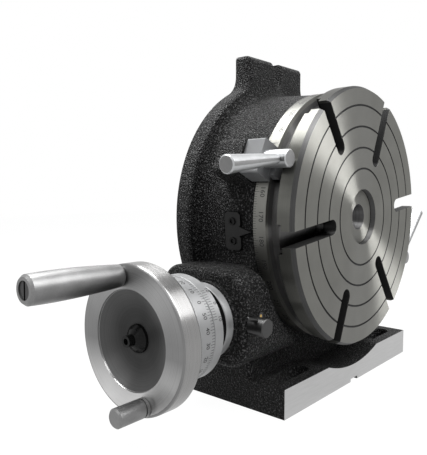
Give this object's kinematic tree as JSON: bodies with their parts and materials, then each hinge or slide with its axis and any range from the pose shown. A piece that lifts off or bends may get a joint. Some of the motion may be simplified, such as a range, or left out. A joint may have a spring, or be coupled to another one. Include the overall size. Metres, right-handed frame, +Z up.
{
  "type": "horizontal vertical rotary table",
  "caption": "Worm-driven rotary table with T-slots, graduated rim and dished handwheel, for use lying flat or standing on its foot.",
  "frame": {"origin": "spindle axis in the plane of the table's working face", "axes": "-Y out of the table's working face, +Z up when standing on the foot, -X towards the handwheel"},
  "size_m": [0.497, 0.12, 0.3275],
  "materials": {
    "wrinkle_paint": "coarse wrinkle paint, satin",
    "turned_iron": "fine turned and ground",
    "ground_ring": "ground, engraved",
    "ground_steel": "ground",
    "satin_chrome": "satin",
    "polished_steel": "polished rim, brushed face",
    "brushed_handle": "satin",
    "zinc_lever": "satin cast",
    "cast_dog": "blasted casting",
    "satin_plate": "satin",
    "black_steel": "black oxide",
    "bronze": "machined"
  },
  "bodies": {
    "base": {"base_casting": "wrinkle_paint", "spindle_bush": "bronze", "thrust_ring": "bronze", "rear_cover": "ground_steel", "rear_cover_screws": "black_steel", "index_plate": "satin_plate", "index_screws": "black_steel", "ball_oiler": "bronze", "sleeve_lock_pad": "bronze"},
    "table": {"rotary_table": "turned_iron", "degree_ring": "ground_ring", "worm_wheel": "bronze", "wheel_screws": "black_steel", "spindle_nut": "black_steel"},
    "sleeve": {"eccentric_sleeve": "ground_steel", "sleeve_end_plug": "ground_steel", "sleeve_collar": "satin_chrome", "vernier_ring": "satin_chrome", "worm_bush_inner": "bronze", "worm_bush_outer": "bronze", "shaft_front_bush": "bronze"},
    "worm": {"worm_shaft": "ground_steel", "handwheel_key": "ground_steel", "handwheel": "polished_steel", "hub_washer": "black_steel", "hub_screw": "black_steel", "short_handle": "brushed_handle", "long_handle_pin": "black_steel"},
    "dial": {"dial_ring": "satin_chrome", "dial_lock_screw": "black_steel"},
    "crank_grip": {"long_handle": "brushed_handle"},
    "left_clamp_screw": {"clamp_hub_left": "zinc_lever", "clamp_lever_left": "zinc_lever"},
    "right_clamp_screw": {"clamp_hub_right": "zinc_lever", "clamp_lever_right": "zinc_lever"},
    "left_clamp_dog": {"clamp_block_left": "cast_dog"},
    "right_clamp_dog": {"clamp_block_right": "cast_dog"},
    "lock_screw": {"worm_lock_screw": "brushed_handle", "lock_screw_pin": "brushed_handle"}
  },
  "joints": [
    {"name": "table_spin", "type": "hinge", "parent": "base", "child": "table", "pos_m": [0, 0, 0], "axis": [0, -1, 0], "continuous": true},
    {"name": "sleeve_turn", "type": "hinge", "parent": "base", "child": "sleeve", "pos_m": [0, 0.0675, -0.082], "axis": [1, 0, 0], "range_deg": [0, 50]},
    {"name": "worm_spin", "type": "hinge", "parent": "sleeve", "child": "worm", "pos_m": [0, 0.0625, -0.082], "axis": [-1, 0, 0], "continuous": true},
    {"name": "dial_setting", "type": "hinge", "parent": "worm", "child": "dial", "pos_m": [0, 0.0625, -0.082], "axis": [-1, 0, 0], "continuous": true},
    {"name": "grip_spin", "type": "hinge", "parent": "worm", "child": "crank_grip", "pos_m": [0, 0.07244, -0.03524], "axis": [-1, 0, 0], "continuous": true},
    {"name": "left_clamp_turn", "type": "hinge", "parent": "base", "child": "left_clamp_screw", "pos_m": [-0.12335, 0, 0.05236], "axis": [0, 1, 0], "range_deg": [0, 60]},
    {"name": "right_clamp_turn", "type": "hinge", "parent": "base", "child": "right_clamp_screw", "pos_m": [0.12335, 0, -0.05236], "axis": [0, 1, 0], "range_deg": [0, 60]},
    {"name": "left_dog_slide", "type": "slide", "parent": "base", "child": "left_clamp_dog", "axis": [0, 1, 0], "range_m": [0, 0.00025]},
    {"name": "right_dog_slide", "type": "slide", "parent": "base", "child": "right_clamp_dog", "axis": [0, 1, 0], "range_m": [0, 0.00025]},
    {"name": "lock_screw_turn", "type": "hinge", "parent": "base", "child": "lock_screw", "pos_m": [-0.15, 0, -0.082], "axis": [0, -1, 0], "range_deg": [-90, 90]}
  ],
  "couplings": [
    {"joint": "worm_spin", "follows": "table_spin", "ratio": 90},
    {"joint": "left_dog_slide", "follows": "left_clamp_turn", "m_per_rad": 0.00023873},
    {"joint": "right_dog_slide", "follows": "right_clamp_turn", "m_per_rad": 0.00023873}
  ]
}
